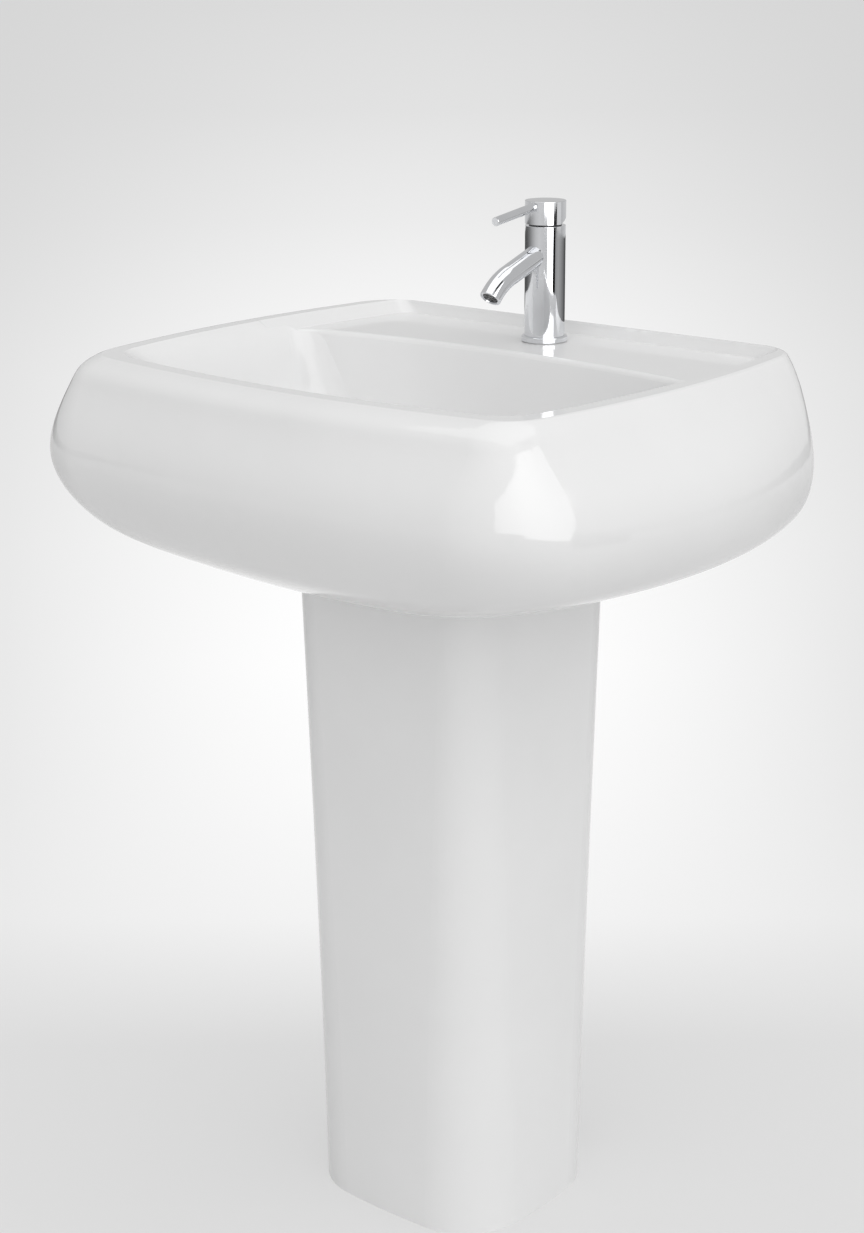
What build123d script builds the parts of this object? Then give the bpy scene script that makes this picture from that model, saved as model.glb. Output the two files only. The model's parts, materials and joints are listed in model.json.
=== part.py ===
"""Pedestal basin in white china with a single-lever mixer tap, click waste and bottle trap.

Millimetres. +Z is up and the basin's front faces -Y. The origin lies on the floor, under the
middle of the basin: x = 0 is the plane of symmetry and y = wall_y is the wall behind the basin.
"""

import os
from math import cos, radians, sin, sqrt, tan

from build123d import *

os.makedirs("parts", exist_ok=True)

# Driving dimensions: basin
rim_height = 850.0  # floor to the top of the rim
basin_base = 650.0  # floor to the flat underside, which the pedestal carries
basin_depth = 497.0  # wall to the most forward point of the bulge
wall_y = basin_depth / 2  # the wall plane
rim_back = 247.5  # half the rim's width at the wall
rim_front = 247.0  # half the rim's width at its front corners
rim_depth = 426.0  # wall to the rim's front corners
rim_bow = 22.0  # bow of the rim's sides and front
rim_round = 5.0  # radius of the rim's outer edge
ledge_round = 6.0  # radius of the ledge's edge over the bowl
china = 12.0  # wall thickness of the fired china
deck_height = 839.0  # top of the tap ledge
bowl_floor = 708.0  # the flat seat round the waste, the lowest part of the bowl
wall_hole_spacing = 280.0  # between the two wall-fixing holes
wall_hole_height = 790.0
wall_hole = 7.0  # radius
access_width = 220.0  # opening in the back, under the tap ledge
access_base = 702.0
access_top = 786.0
tap_hole = 17.5  # radius of the hole in the ledge

# Driving dimensions: pedestal
pedestal_back = 205.0  # wall to the axis of the column
pedestal_slot = 130.0  # width of the opening in its back
floor_hole_spacing = 170.0  # between the two floor-fixing holes
floor_hole_back = 175.0  # wall to the floor-fixing holes
floor_hole = 4.0  # radius
lug = 16.0  # thickness of the lugs for the floor screws

# Driving dimensions: tap
tap_y = wall_y - 63.0  # axis of the tap
tap_radius = 19.5
tap_top = 974.5  # top of the lever cap
tap_joint = 951.0  # top of the fixed column
spout_radius = 10.4
spout_droop = 18.8  # degrees below level where the spout leaves the column
lever_radius = 4.25
lever_droop = 8.0  # degrees below level
lever_reach = 78.0  # tap axis to the end of the handle
pivot_height = 949.0  # axis on which the lever rocks
lever_lift = 24.0  # degrees from shut to full flow

# Driving dimensions: waste and trap
waste_y = wall_y - 240.0  # axis of the waste
barrel = 20.9  # radius of the waste's threaded barrel, size 1 1/4
barrel_end = 640.0  # height of the barrel's lower end
trap_outlet = 545.0  # height of the pipe to the wall
pipe = 16.0  # radius of the 32 mm pipe


def save(builder, name):
    """Label a finished piece and write it as its own file."""
    builder.part.label = name
    export_step(builder.part, f"parts/{name}.step")


def ring(plane, outer, inner, thickness):
    """Sketch and extrude a flat ring, in the part that is being built."""
    with BuildSketch(plane) as section:
        Circle(outer)
        Circle(inner, mode=Mode.SUBTRACT)
    extrude(to_extrude=section.sketch, amount=thickness)


# ------------------------------------------------------------------------------------- china


def outline(height, half_back, half_front, back, depth, bow, back_bow, front_bow, back_radius, front_radius):
    """Plan outline at a height, with four bowed sides and four rounded corners.

    back and depth are the distances from the wall to the back and the front corners.
    """
    y_back = wall_y - back
    y_front = wall_y - depth
    middle = ((half_back + half_front) / 2 + bow, (y_back + y_front) / 2)
    with BuildSketch(Plane.XY.offset(height)) as plan:
        with BuildLine():
            if back_bow:
                ThreePointArc((half_back, y_back), (0, y_back + back_bow), (-half_back, y_back))
            else:
                Line((half_back, y_back), (-half_back, y_back))
            ThreePointArc((-half_back, y_back), (-middle[0], middle[1]), (-half_front, y_front))
            ThreePointArc((-half_front, y_front), (0, y_front - front_bow), (half_front, y_front))
            ThreePointArc((half_front, y_front), middle, (half_back, y_back))
        make_face()
        fillet(plan.vertices().group_by(Axis.Y)[-1], back_radius)
        fillet(plan.vertices().group_by(Axis.Y)[0], front_radius)
    return plan.sketch


# The outside of the basin, from the rim down: height, bulge of the sides and of the front
# beyond the rim, and how far the back stands from the wall. Where it lies on the wall it starts
# half a millimetre beyond, and is cut back to a true flat.
body_sections = [
    (rim_height, 0.0, 0.0, -0.5),
    (828.0, 14.5, 27.0, -0.5),
    (794.0, 26.5, 44.5, -0.5),
    (758.0, 31.5, 51.5, -0.5),
    (724.0, 25.5, 38.5, -0.5),
    (698.0, 4.0, 21.0, -0.5),
    (680.0, -35.5, 0.0, 2.0),
    (667.0, -68.5, -24.0, 7.0),
    (657.0, -100.0, -50.0, 14.0),
    (basin_base, -128.0, -77.0, 22.0),
]
belly_height = 760.0  # from here down the outline has its roundest form


def body_outline(height, side, front, back, inset=0.0):
    """One section of the basin's outside, or of its inner skin where inset is the china's thickness.

    The skin lies inset from the sides and, towards the flat underside, above it.
    """
    fall = min(1.0, (rim_height - height) / (rim_height - belly_height))
    belly = fall**2 * (3 - 2 * fall)
    rise = inset * ((rim_height - height) / (rim_height - basin_base)) ** 3
    return outline(
        height + rise,
        half_back=rim_back + side - inset,
        half_front=rim_front + side - inset,
        back=back + inset,
        depth=rim_depth + front - inset,
        bow=rim_bow + 31.0 * belly,
        back_bow=0.0,
        front_bow=rim_bow + 2.0 - 5.0 * belly,
        back_radius=52.0 + 46.0 * belly - inset,
        front_radius=42.0 + 66.0 * belly - inset,
    )


# The rim's side is one arc, and whatever lies inside it runs parallel to that arc.
side_chord = sqrt(rim_depth**2 + (rim_front - rim_back) ** 2)
side_radius = side_chord**2 / (8 * rim_bow) + rim_bow / 2
side_centre_x = (rim_back + rim_front) / 2 + rim_bow - side_radius
side_centre_back = rim_depth / 2 + (rim_front - rim_back) / side_chord * (side_radius - rim_bow)


def side_half(distance, inset):
    """Half the width at a distance from the wall, on an arc inside the rim's side."""
    return side_centre_x + sqrt((side_radius - inset) ** 2 - (distance - side_centre_back) ** 2)


def inner_outline(height, side_inset, back, depth, back_bow, front_bow, back_radius, front_radius):
    """Plan outline inside the rim, whose sides run parallel to the rim's."""
    half_back = side_half(back, side_inset)
    half_front = side_half(depth, side_inset)
    bow = side_half((back + depth) / 2, side_inset) - (half_back + half_front) / 2
    return outline(height, half_back, half_front, back, depth, bow, back_bow, front_bow, back_radius, front_radius)


# The bowl's walls, from above the rim down: height, inset of the sides from the rim, back and
# front corners from the wall, bow of the back and of the front, back and front radius.
bowl_sections = [
    (rim_height + 3.0, 7.0, 155.0, 421.0, 30.0, 22.0, 24.0, 50.0),
    (839.0, 31.0, 155.0, 398.0, 25.0, 22.0, 26.0, 46.0),
    (800.0, 54.0, 163.0, 374.0, 24.0, 20.0, 38.0, 52.0),
    (760.0, 79.0, 171.0, 348.0, 21.0, 17.0, 50.0, 60.0),
    (722.0, 122.0, 183.0, 310.0, 16.0, 13.0, 54.0, 58.0),
]
waste_seat = (bowl_floor, 205.0, 200.0, 280.0, 6.0, 6.0, 36.0, 36.0)  # the bottom falls to this flat
bowl_round = 24.0  # radius where the walls turn into the bottom
seat_round = 6.0

# The recess of the tap ledge inside the rim: height, inset of the sides and of the back. Its sides
# lie just inside the bowl's, so that the bowl's own skin runs on to the back.
ledge_sections = [(rim_height + 3.0, 8.5, 6.0), (846.0, 22.0, 9.0), (deck_height, 33.0, 14.0)]
ledge_depth = 200.0  # wall to the front of the recess, inside the bowl


def bowl_outline(section, grow=0.0, lower=0.0):
    """One section of the bowl, or of its underside where grow is the china's thickness."""
    height, side_inset, back, depth, back_bow, front_bow, back_radius, front_radius = section
    return inner_outline(
        height - lower,
        side_inset - grow,
        back - grow,
        depth + grow,
        back_bow,
        front_bow,
        back_radius + grow,
        front_radius + grow,
    )


with BuildPart() as bowl:  # the space inside the bowl
    loft(sections=[bowl_outline(section) for section in bowl_sections])
    loft(sections=[bowl_outline(bowl_sections[-1]), bowl_outline(waste_seat)], ruled=True)
    turn = bowl_sections[-1][0]
    fillet(bowl.edges().filter_by_position(Axis.Z, turn - 0.1, turn + 0.1), bowl_round)
    fillet(bowl.edges().filter_by_position(Axis.Z, bowl_floor - 0.1, bowl_floor + 0.1), seat_round)

with BuildPart() as cavity:  # the hollow between the basin's outside and its bowl
    loft(sections=[body_outline(*section, inset=china) for section in body_sections])
    split(bisect_by=Plane.XY.offset(deck_height - china), keep=Keep.BOTTOM)
    split(bisect_by=Plane.XY.offset(basin_base + china), keep=Keep.TOP)
    loft(sections=[bowl_outline(section, china, china - 2) for section in bowl_sections[::2]], mode=Mode.SUBTRACT)
    loft(
        sections=[bowl_outline(bowl_sections[-1], china, china - 2), bowl_outline(waste_seat, china, china)],
        ruled=True,
        mode=Mode.SUBTRACT,
    )
    with BuildSketch(Plane.XY.offset(bowl_floor - 20)) as boss_plan:
        with Locations((0, waste_y)):
            Circle(40)
    extrude(amount=20, mode=Mode.SUBTRACT)

with BuildPart() as basin:
    loft(sections=[body_outline(*section) for section in body_sections])
    split(bisect_by=Plane.XZ.offset(-wall_y), keep=Keep.TOP)
    add(bowl.part, mode=Mode.SUBTRACT)
    loft(
        sections=[
            inner_outline(height, side_inset, back_inset, ledge_depth, 0.0, 1.0, 18.0, 4.0)
            for height, side_inset, back_inset in ledge_sections
        ],
        mode=Mode.SUBTRACT,
    )
    crest = basin.faces().filter_by(Plane.XY).sort_by(Axis.Z)[-1]
    fillet(crest.outer_wire().edges(), rim_round)
    ledge = basin.faces().filter_by(Plane.XY).filter_by_position(Axis.Z, deck_height - 0.1, deck_height + 0.1)[0]
    fillet(ledge.edges().filter_by(Plane.XY).sort_by(Axis.Y)[0], ledge_round)
    add(cavity.part, mode=Mode.SUBTRACT)
    with BuildSketch(Plane.XY.offset(basin_base)):  # way in for the waste and the pipes
        with Locations((0, wall_y - 210)):
            RectangleRounded(150, 160, 30)
    extrude(amount=china, mode=Mode.SUBTRACT)
    with BuildSketch(Plane.XY.offset(bowl_floor + 1)):
        with Locations((0, waste_y)):
            Circle(barrel + 1.6)
    extrude(amount=-30, mode=Mode.SUBTRACT)
    with BuildSketch(Plane.XY.offset(deck_height + 1)):
        with Locations((0, tap_y)):
            Circle(tap_hole)
    extrude(amount=-20, mode=Mode.SUBTRACT)
    with BuildSketch(Plane.XZ.offset(-wall_y)):
        with Locations((-wall_hole_spacing / 2, wall_hole_height), (wall_hole_spacing / 2, wall_hole_height)):
            Circle(wall_hole)
        with Locations((0, (access_top + access_base) / 2)):  # the fitter's way in to the tap's fixings
            RectangleRounded(access_width, access_top - access_base, 24)
    extrude(amount=china + 1, mode=Mode.SUBTRACT)
save(basin, "basin")


def column_outline(height, inset=0.0):
    """One section of the column: a rounded square at the top that softens towards the foot."""
    rise = (height / basin_base) ** 1.23
    half_width = 108.0 + 4.0 * rise - inset
    half_depth = 99.0 + 10.0 * rise - inset
    bow = 9.0 - 3.5 * rise
    corner = 70.0 - 30.0 * rise - inset
    return outline(
        height,
        half_width,
        half_width,
        pedestal_back - half_depth,
        pedestal_back + half_depth,
        bow,
        bow,
        bow,
        corner,
        corner,
    )


column_heights = [0.0, 170.0, 400.0, basin_base]

with BuildPart() as pedestal:
    loft(sections=[column_outline(height) for height in column_heights])
    loft(sections=[column_outline(height, china) for height in column_heights], mode=Mode.SUBTRACT)
    with BuildSketch(Plane.XY) as lug_plan:  # two lugs inside the foot for the floor screws
        for side in (-1, 1):
            with Locations((side * (floor_hole_spacing / 2 + 6), wall_y - floor_hole_back)):
                RectangleRounded(44, 40, 8)
    extrude(amount=lug)
    with BuildSketch(Plane.XY):
        with Locations(
            (-floor_hole_spacing / 2, wall_y - floor_hole_back), (floor_hole_spacing / 2, wall_y - floor_hole_back)
        ):
            Circle(floor_hole)
    extrude(amount=lug, mode=Mode.SUBTRACT)
    with BuildSketch(Plane.XZ.offset(-wall_y)):  # the open back
        with Locations((0, 280)):
            RectangleRounded(pedestal_slot, 620, 30)
    extrude(amount=pedestal_back - 50, mode=Mode.SUBTRACT)
save(pedestal, "pedestal")

# --------------------------------------------------------------------------- tap, fixed part

seal_top = deck_height + 1.0
ring_top = seal_top + 5.0
spigot_end = 830.0  # lower end of the spigot in the ledge's hole
spigot_radius = 16.5
chamber_radius = 13.2  # bore that holds the cartridge
chamber_floor = 919.0
stud_y = tap_y - 9.0
inlets = [(-7.0, tap_y + 5.0), (7.0, tap_y + 5.0)]  # cold and hot
inlet_radius = 4.6  # M10 x 1 thread for a flexible tail
inlet_length = 18.0
spout_root = 928.0  # height at which the spout's axis meets the tap's
spout_run = 60.5  # straight length from the tap's axis
spout_bend = 64.0  # radius of the bend
spout_turn = 30.0  # degrees
spout_bore = 8.6
aerator_radius = 9.0
aerator_length = 10.0

with BuildPart() as tap_base_seal:
    ring(Plane((0, tap_y, deck_height)), 21.6, spigot_radius, seal_top - deck_height)
save(tap_base_seal, "tap_base_seal")

with BuildPart() as tap_base_ring:
    ring(Plane((0, tap_y, seal_top)), 22.4, spigot_radius, ring_top - seal_top)
    fillet(tap_base_ring.edges().filter_by(GeomType.CIRCLE).group_by(Axis.Z)[-1].sort_by(SortBy.RADIUS)[-1], 1.6)
save(tap_base_ring, "tap_base_ring")

with BuildPart() as tap_body:
    with BuildSketch(Plane((0, tap_y, spigot_end))):
        Circle(spigot_radius)
    extrude(amount=ring_top - spigot_end)
    with BuildSketch(Plane((0, tap_y, ring_top))):
        Circle(tap_radius)
    extrude(amount=tap_joint - ring_top)
    fillet(tap_body.edges().filter_by(GeomType.CIRCLE).group_by(Axis.Z)[-1], 0.5)
    with BuildSketch(Plane((0, tap_y, chamber_floor))):
        Circle(chamber_radius)
    extrude(amount=tap_joint - chamber_floor, mode=Mode.SUBTRACT)
    with BuildSketch(Plane.XY.offset(spigot_end)):
        with Locations(*inlets):
            Circle(inlet_radius)
    extrude(amount=inlet_length, mode=Mode.SUBTRACT)
    with BuildSketch(Plane.XY.offset(spigot_end)):
        with Locations(*inlets):
            Circle(2.8)
    extrude(amount=chamber_floor - spigot_end, mode=Mode.SUBTRACT)
    with BuildSketch(Plane.XY.offset(spigot_end)):
        with Locations((0, stud_y)):
            Circle(4)
    extrude(amount=14, mode=Mode.SUBTRACT)
    outlet_axis = (0, -cos(radians(spout_droop)), -sin(radians(spout_droop)))
    with BuildSketch(Plane((0, tap_y, spout_root), x_dir=(1, 0, 0), z_dir=outlet_axis)):
        Circle(6)
    extrude(amount=30, mode=Mode.SUBTRACT)
save(tap_body, "tap_body")

with BuildPart() as tap_spout:
    with BuildLine(Plane.YZ) as spout_line:
        run = PolarLine((tap_y, spout_root), spout_run, angle=180 + spout_droop)
        JernArc(start=run @ 1, tangent=run % 1, radius=spout_bend, arc_size=spout_turn)
    with BuildSketch(Plane(origin=spout_line.line @ 0, x_dir=(1, 0, 0), z_dir=spout_line.line % 0)):
        Circle(spout_radius)
        Circle(spout_bore, mode=Mode.SUBTRACT)
    sweep(path=spout_line.line)
    with BuildSketch(Plane((0, tap_y, ring_top))):  # the saddle that meets the column
        Circle(tap_radius)
    extrude(amount=tap_joint - ring_top, mode=Mode.SUBTRACT)
    mouth = tap_spout.faces().filter_by(GeomType.PLANE).sort_by(Axis.Z)[0]
    fillet(mouth.outer_wire().edges(), 0.5)
    mouth_axis = spout_line.line % 1
    mouth_plane = Plane(origin=spout_line.line @ 1, x_dir=(1, 0, 0), z_dir=-mouth_axis)
    with BuildSketch(mouth_plane):  # straight seat for the aerator
        Circle(aerator_radius)
    extrude(amount=aerator_length, mode=Mode.SUBTRACT)
save(tap_spout, "tap_spout")

with BuildPart() as aerator_housing:
    ring(mouth_plane.offset(0.8), aerator_radius, aerator_radius - 1.4, aerator_length - 0.8)
save(aerator_housing, "aerator_housing")

with BuildPart() as aerator_insert:
    with BuildSketch(mouth_plane.offset(2.4)):
        Circle(aerator_radius - 1.4)
        with HexLocations(1.55, 5, 5):
            Circle(0.9, mode=Mode.SUBTRACT)
    extrude(amount=5)
save(aerator_insert, "aerator_insert")

cartridge_floor = chamber_floor + 2.0
cartridge_top = 944.0
with BuildPart() as cartridge_seal:
    with BuildSketch(Plane((0, tap_y, chamber_floor))):
        Circle(12.4)
        with Locations((-7, 5), (7, 5)):
            Circle(3, mode=Mode.SUBTRACT)
    extrude(amount=cartridge_floor - chamber_floor)
save(cartridge_seal, "cartridge_seal")

rotor_radius = 8.3
with BuildPart() as cartridge_housing:
    with BuildSketch(Plane((0, tap_y, cartridge_floor))):
        Circle(12.4)
        with Locations((-7, 5), (7, 5)):
            Circle(2.6, mode=Mode.SUBTRACT)
    extrude(amount=cartridge_top - cartridge_floor)
    with BuildSketch(Plane((0, tap_y, cartridge_floor + 6))):
        Circle(rotor_radius + 0.3)
    extrude(amount=cartridge_top - cartridge_floor, mode=Mode.SUBTRACT)
save(cartridge_housing, "cartridge_housing")

with BuildPart() as cartridge_nut:
    ring(Plane((0, tap_y, cartridge_top)), chamber_radius, 9.6, 5.5)
    with BuildSketch(Plane((0, tap_y, cartridge_top + 3))):
        with PolarLocations(11.6, 4):
            Rectangle(6, 3)
    extrude(amount=2.5, mode=Mode.SUBTRACT)
save(cartridge_nut, "cartridge_nut")

dome_radius = 16.0
dome_mouth = 13.0
with BuildPart() as dome_ring:  # ball-shaped collar that the cap rides over
    with BuildSketch(Plane.YZ) as dome_profile:
        with Locations((tap_y, pivot_height)):
            Circle(dome_radius)
            Circle(dome_radius - 1.6, mode=Mode.SUBTRACT)
        keep_height = sqrt(dome_radius**2 - dome_mouth**2) - (tap_joint - pivot_height)
        with Locations((tap_y, tap_joint)):
            Rectangle(dome_radius + 1, keep_height, align=(Align.MIN, Align.MIN), mode=Mode.INTERSECT)
    revolve(axis=Axis((0, tap_y, 0), (0, 0, 1)))
save(dome_ring, "dome_ring")

deck_under = deck_height - china
stud_end = 772.0


def horseshoe(top, thickness, outer):
    """U-shaped plate round the stud, open at the back for the supply hoses."""
    with BuildSketch(Plane((0, tap_y, top - thickness))) as plate:
        Circle(outer)
        with Locations((0, -2)):
            Rectangle(26, outer + 4, align=(Align.CENTER, Align.MIN), mode=Mode.SUBTRACT)
        with Locations((0, stud_y - tap_y)):
            Circle(4.2, mode=Mode.SUBTRACT)
        fillet(plate.vertices().group_by(Axis.Y)[-1], 2)
    extrude(to_extrude=plate.sketch, amount=thickness)


with BuildPart() as horseshoe_gasket:
    horseshoe(deck_under, 3.0, 25.0)
save(horseshoe_gasket, "horseshoe_gasket")

with BuildPart() as horseshoe_washer:
    horseshoe(deck_under - 3.0, 2.5, 24.0)
save(horseshoe_washer, "horseshoe_washer")

with BuildPart() as fixing_stud:
    with BuildSketch(Plane((0, stud_y, spigot_end + 14))):
        Circle(4)
    extrude(amount=-(spigot_end + 14 - stud_end))
    chamfer(fixing_stud.edges().group_by(Axis.Z)[0], 0.8)
save(fixing_stud, "fixing_stud")

with BuildPart() as stud_nut:
    with BuildSketch(Plane((0, stud_y, deck_under - 5.5))):
        RegularPolygon(6.5, 6, major_radius=False)
        Circle(4, mode=Mode.SUBTRACT)
    extrude(amount=-14)
save(stud_nut, "stud_nut")

# -------------------------------------------------------------------------- tap, moving part

ear_gap = 4.1  # half the slot between the rotor's ears
pin_radius = 1.5
with BuildPart() as cartridge_rotor:
    with BuildSketch(Plane((0, tap_y, cartridge_floor + 6.4))):
        Circle(rotor_radius)
    extrude(amount=952.5 - cartridge_floor - 6.4)
    with BuildSketch(Plane((0, tap_y, 935))):
        Rectangle(2 * ear_gap, 2 * rotor_radius + 2)
    extrude(amount=20, mode=Mode.SUBTRACT)
    with BuildSketch(Plane.YZ.offset(-7.2)):
        with Locations((tap_y, pivot_height)):
            Circle(pin_radius)
    extrude(amount=14.4, mode=Mode.SUBTRACT)
save(cartridge_rotor, "cartridge_rotor")

with BuildPart() as rotor_pin:
    with BuildSketch(Plane.YZ.offset(-7.2)):
        with Locations((tap_y, pivot_height)):
            Circle(pin_radius)
    extrude(amount=14.4)
save(rotor_pin, "rotor_pin")

spindle_half = 3.9
spindle_top = 972.5
with BuildPart() as lever_spindle:
    with BuildSketch(Plane((0, tap_y, 944))):
        RectangleRounded(2 * spindle_half, 2 * spindle_half, 0.8)
    extrude(amount=spindle_top - 944)
    with BuildSketch(Plane((0, tap_y, 939))):
        Rectangle(5, 5)
    extrude(amount=5)
    with BuildSketch(Plane.YZ.offset(-5)):
        with Locations((tap_y, pivot_height)):
            Circle(pin_radius + 0.05)
    extrude(amount=10, mode=Mode.SUBTRACT)
save(lever_spindle, "lever_spindle")

cap_base = 952.6
cap_radius = 19.8
relief_start = 2.0  # the relief under the cap's back starts this far in front of the axis
relief_angle = lever_lift + 2.0
cap_socket = 16.5  # along the handle, from the axis to the shoulder that it seats on
handle_axis = (0, -cos(radians(lever_droop)), -sin(radians(lever_droop)))
handle_root = Vector(0, tap_y, 972.0)


def handle_plane(along):
    """Plane square to the handle, at a distance along it from the tap's axis."""
    return Plane(origin=handle_root + Vector(*handle_axis) * along, x_dir=(1, 0, 0), z_dir=handle_axis)


with BuildPart() as lever_cap:
    with BuildSketch(Plane((0, tap_y, cap_base))):
        Circle(cap_radius)
    extrude(amount=tap_top - cap_base)
    fillet(lever_cap.edges().filter_by(GeomType.CIRCLE).group_by(Axis.Z)[-1], 0.6)
    with BuildSketch(Plane.YZ) as ball_profile:  # ball-shaped hollow over the dome ring
        with Locations((tap_y, pivot_height)):
            Circle(dome_radius + 0.8)
            Rectangle(2 * dome_radius + 4, 2 * dome_radius + 4, align=(Align.MAX, Align.CENTER), mode=Mode.SUBTRACT)
    revolve(axis=Axis((0, tap_y, 0), (0, 0, 1)), mode=Mode.SUBTRACT)
    with BuildSketch(Plane.YZ.offset(-25)):
        with BuildLine():
            Polyline(
                (tap_y - relief_start, cap_base),
                (tap_y + 30, cap_base + (30 + relief_start) * tan(radians(relief_angle))),
                (tap_y + 30, cap_base - 5),
                (tap_y - relief_start, cap_base - 5),
                close=True,
            )
        make_face()
    extrude(amount=50, mode=Mode.SUBTRACT)
    with BuildSketch(Plane((0, tap_y, spindle_top))):
        RectangleRounded(2 * spindle_half, 2 * spindle_half, 0.8)
    extrude(amount=-12, mode=Mode.SUBTRACT)
    with BuildSketch(handle_plane(2.0)):
        Circle(2)
    extrude(amount=cap_socket, mode=Mode.SUBTRACT)
    with BuildSketch(handle_plane(cap_socket)):
        Circle(lever_radius)
    extrude(amount=10, mode=Mode.SUBTRACT)
save(lever_cap, "lever_cap")

with BuildPart() as lever_pin:
    with BuildSketch(handle_plane(cap_socket)):
        Circle(lever_radius)
    extrude(amount=lever_reach - cap_socket)
    chamfer(lever_pin.edges().filter_by(GeomType.CIRCLE).sort_by(Axis.Y)[0], 0.4)
    with BuildSketch(handle_plane(9.0)):
        Circle(2)
    extrude(amount=cap_socket - 9.0)
save(lever_pin, "lever_pin")

with BuildPart() as grub_screw:
    with BuildSketch(handle_plane(4.4)):
        Circle(2)
    extrude(amount=4)
    with BuildSketch(handle_plane(8.4)):
        RegularPolygon(1.0, 6, major_radius=False)
    extrude(amount=-2, mode=Mode.SUBTRACT)
save(grub_screw, "grub_screw")

# --------------------------------------------------------------------------------------- waste

waste_axis = Axis((0, waste_y, 0), (0, 0, 1))
flange_base = bowl_floor + 1.0
flange_top = bowl_floor + 3.2
boss_base = bowl_floor - 20.0
barrel_bore = 17.5

with BuildPart() as waste_top_seal:
    ring(Plane((0, waste_y, bowl_floor)), 30, barrel, flange_base - bowl_floor)
save(waste_top_seal, "waste_top_seal")

with BuildPart() as waste_body:
    with BuildSketch(Plane.YZ):
        with BuildLine():
            Polyline(
                (waste_y + barrel_bore, barrel_end),
                (waste_y + barrel, barrel_end),
                (waste_y + barrel, flange_base),
                (waste_y + 32.0, flange_base),
                (waste_y + 31.0, flange_top - 0.6),
                (waste_y + 28.5, flange_top),
                (waste_y + 23.5, flange_top),
                (waste_y + barrel_bore, flange_top - 5),
                close=True,
            )
        make_face()
    revolve(axis=waste_axis)
    with BuildSketch(Plane((0, waste_y, boss_base + 6))):  # side slots above the boss
        with PolarLocations(barrel, 4, start_angle=45):
            Rectangle(12, 14)
    extrude(amount=9, mode=Mode.SUBTRACT)
save(waste_body, "waste_body")

with BuildPart() as waste_cone_seal:
    with BuildSketch(Plane.YZ):
        with BuildLine():
            Polyline(
                (waste_y + barrel, boss_base),
                (waste_y + 27.0, boss_base),
                (waste_y + 30.0, boss_base - 5),
                (waste_y + barrel, boss_base - 5),
                close=True,
            )
        make_face()
    revolve(axis=waste_axis)
save(waste_cone_seal, "waste_cone_seal")

with BuildPart() as waste_back_nut:
    with BuildSketch(Plane((0, waste_y, boss_base - 5))):
        RegularPolygon(26, 6, major_radius=False)
        Circle(barrel, mode=Mode.SUBTRACT)
    extrude(amount=-7)
save(waste_back_nut, "waste_back_nut")

stem_radius = 3.0
cage_top = 700.0
with BuildPart() as click_cage:
    ring(Plane((0, waste_y, cage_top - 6)), barrel_bore, barrel_bore - 2, 6)
    with BuildSketch(Plane((0, waste_y, cage_top - 6))):
        Circle(6)
        with PolarLocations(11, 3, start_angle=90):
            Rectangle(11, 3)
        Circle(stem_radius + 0.05, mode=Mode.SUBTRACT)
    extrude(amount=6)
    with BuildSketch(Plane((0, waste_y, cage_top - 22))):
        Circle(6)
        Circle(stem_radius + 0.05, mode=Mode.SUBTRACT)
    extrude(amount=16)
save(click_cage, "click_cage")

plug_base = flange_top + 2.2
with BuildPart() as waste_plug:
    with BuildSketch(Plane.YZ):
        with BuildLine():
            crown = ThreePointArc(
                (waste_y, plug_base + 6.0), (waste_y + 16, plug_base + 5.2), (waste_y + 29.5, plug_base + 2.8)
            )
            Polyline(
                crown @ 1,
                (waste_y + 30.5, plug_base + 1.6),
                (waste_y + 30.0, plug_base),
                (waste_y + 27.5, plug_base),
                (waste_y + 27.5, plug_base + 1.2),
                (waste_y + 7.0, plug_base + 1.2),
                (waste_y + 7.0, plug_base - 1.5),
                (waste_y, plug_base - 1.5),
                close=False,
            )
            Line((waste_y, plug_base - 1.5), (waste_y, plug_base + 6.0))
        make_face()
    revolve(axis=waste_axis)
save(waste_plug, "waste_plug")

with BuildPart() as plug_seal:
    ring(Plane((0, waste_y, plug_base + 1.2)), 27.5, 23.5, -2.9)
save(plug_seal, "plug_seal")

with BuildPart() as plug_stem:
    with BuildSketch(Plane((0, waste_y, plug_base - 1.5))):
        Circle(stem_radius)
    extrude(amount=-38)
    chamfer(plug_stem.edges().group_by(Axis.Z)[0], 0.6)
save(plug_stem, "plug_stem")

spring_wire = 0.55
with BuildPart() as plug_spring:
    with BuildLine():
        coil = Helix(pitch=3.8, height=plug_base - 1.5 - cage_top - 2 * spring_wire, radius=4.4)
    with BuildSketch(Plane(origin=coil @ 0, z_dir=coil % 0)):
        Circle(spring_wire)
    sweep(is_frenet=True)
plug_spring.part.position = (0, waste_y, cage_top + spring_wire)
save(plug_spring, "plug_spring")

# ---------------------------------------------------------------------------------------- trap

washer_base = barrel_end - 2.5
collar_base = washer_base - 3.0
tube_radius = 16.5
head_radius = 30.0
head_top = trap_outlet + 26.0
head_base = trap_outlet - 36.0
cup_base = 462.0
skin = 2.5  # plastic wall

with BuildPart() as trap_inlet_washer:
    ring(Plane((0, waste_y, washer_base)), 20.4, 15.0, barrel_end - washer_base)
save(trap_inlet_washer, "trap_inlet_washer")


def ribbed_nut(plane, outer, ribs):
    """Ring of grip ribs round a coupling nut, 20 mm tall."""
    with BuildSketch(plane) as rib_plan:
        with PolarLocations(outer, ribs):
            Rectangle(3.0, 4.0)
    extrude(to_extrude=rib_plan.sketch, amount=20)


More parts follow.
